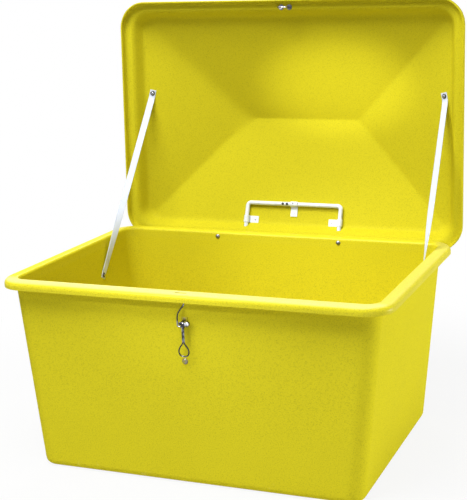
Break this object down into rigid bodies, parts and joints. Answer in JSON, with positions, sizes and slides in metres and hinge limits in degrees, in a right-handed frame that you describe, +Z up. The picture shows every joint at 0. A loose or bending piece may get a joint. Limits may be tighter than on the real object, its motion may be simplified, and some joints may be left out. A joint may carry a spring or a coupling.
{
  "type": "grit salt bin",
  "caption": "Rectangular moulded grit bin with drafted walls, a rolled rim and a hipped lid standing open on a bent rod hinge, with stay straps and a wire latch.",
  "frame": {"origin": "centre of the tub's flat base, on the floor", "axes": "+X to the right along the front, +Y to the rear where the hinge is, +Z up"},
  "size_m": [1.016, 0.8862, 1.128],
  "materials": {
    "yellow_shell": "satin",
    "white_rod": "satin",
    "white_clip": "satin",
    "white_strap": "woven",
    "zinc_bracket": "matt",
    "bright_fastener": "satin",
    "dark_bolt": "satin",
    "latch_steel": "satin",
    "latch_wire": "satin"
  },
  "bodies": {
    "bin": {"tub": "yellow_shell", "strap_left": "white_strap", "strap_right": "white_strap", "strap_lower_screws": "bright_fastener", "hinge_bracket_left": "zinc_bracket", "hinge_bracket_right": "zinc_bracket", "bracket_bolts": "dark_bolt", "bracket_washers": "bright_fastener", "bracket_nuts": "bright_fastener", "latch_saddle": "latch_steel", "latch_cross_bolt": "latch_steel", "latch_dome_nut": "latch_steel", "latch_screws": "bright_fastener", "latch_backing_plate": "zinc_bracket", "front_bolt": "dark_bolt", "front_bolt_washer": "bright_fastener", "front_bolt_nut": "bright_fastener"},
    "cover": {"lid": "yellow_shell", "hinge_rod": "white_rod", "hinge_clip_left": "white_clip", "hinge_clip_centre": "white_clip", "hinge_clip_right": "white_clip", "clip_screws": "bright_fastener", "clip_washers": "bright_fastener", "clip_nuts": "bright_fastener", "strap_upper_screws": "bright_fastener", "strap_upper_washers": "bright_fastener", "strap_upper_nuts": "bright_fastener", "keeper_staple": "latch_wire", "keeper_plate": "zinc_bracket", "keeper_outer_nuts": "bright_fastener", "keeper_inner_nuts": "bright_fastener"},
    "lever": {"latch_lever": "latch_wire"},
    "hook": {"latch_hook": "latch_wire"}
  },
  "joints": [
    {"name": "lid_hinge", "type": "hinge", "parent": "bin", "child": "cover", "pos_m": [0, 0.344, 0.443], "axis": [1, 0, 0], "range_deg": [0, 92.5], "deforming": ["strap_left", "strap_right"]},
    {"name": "lever_hinge", "type": "hinge", "parent": "bin", "child": "lever", "pos_m": [0, -0.32017, 0.41], "axis": [-1, 0, 0], "range_deg": [0, 75]},
    {"name": "hook_hinge", "type": "hinge", "parent": "lever", "child": "hook", "pos_m": [0, -0.32017, 0.402], "axis": [-1, 0, 0], "range_deg": [-75, 0]}
  ],
  "couplings": [
    {"joint": "hook_hinge", "follows": "lever_hinge", "ratio": -1}
  ]
}
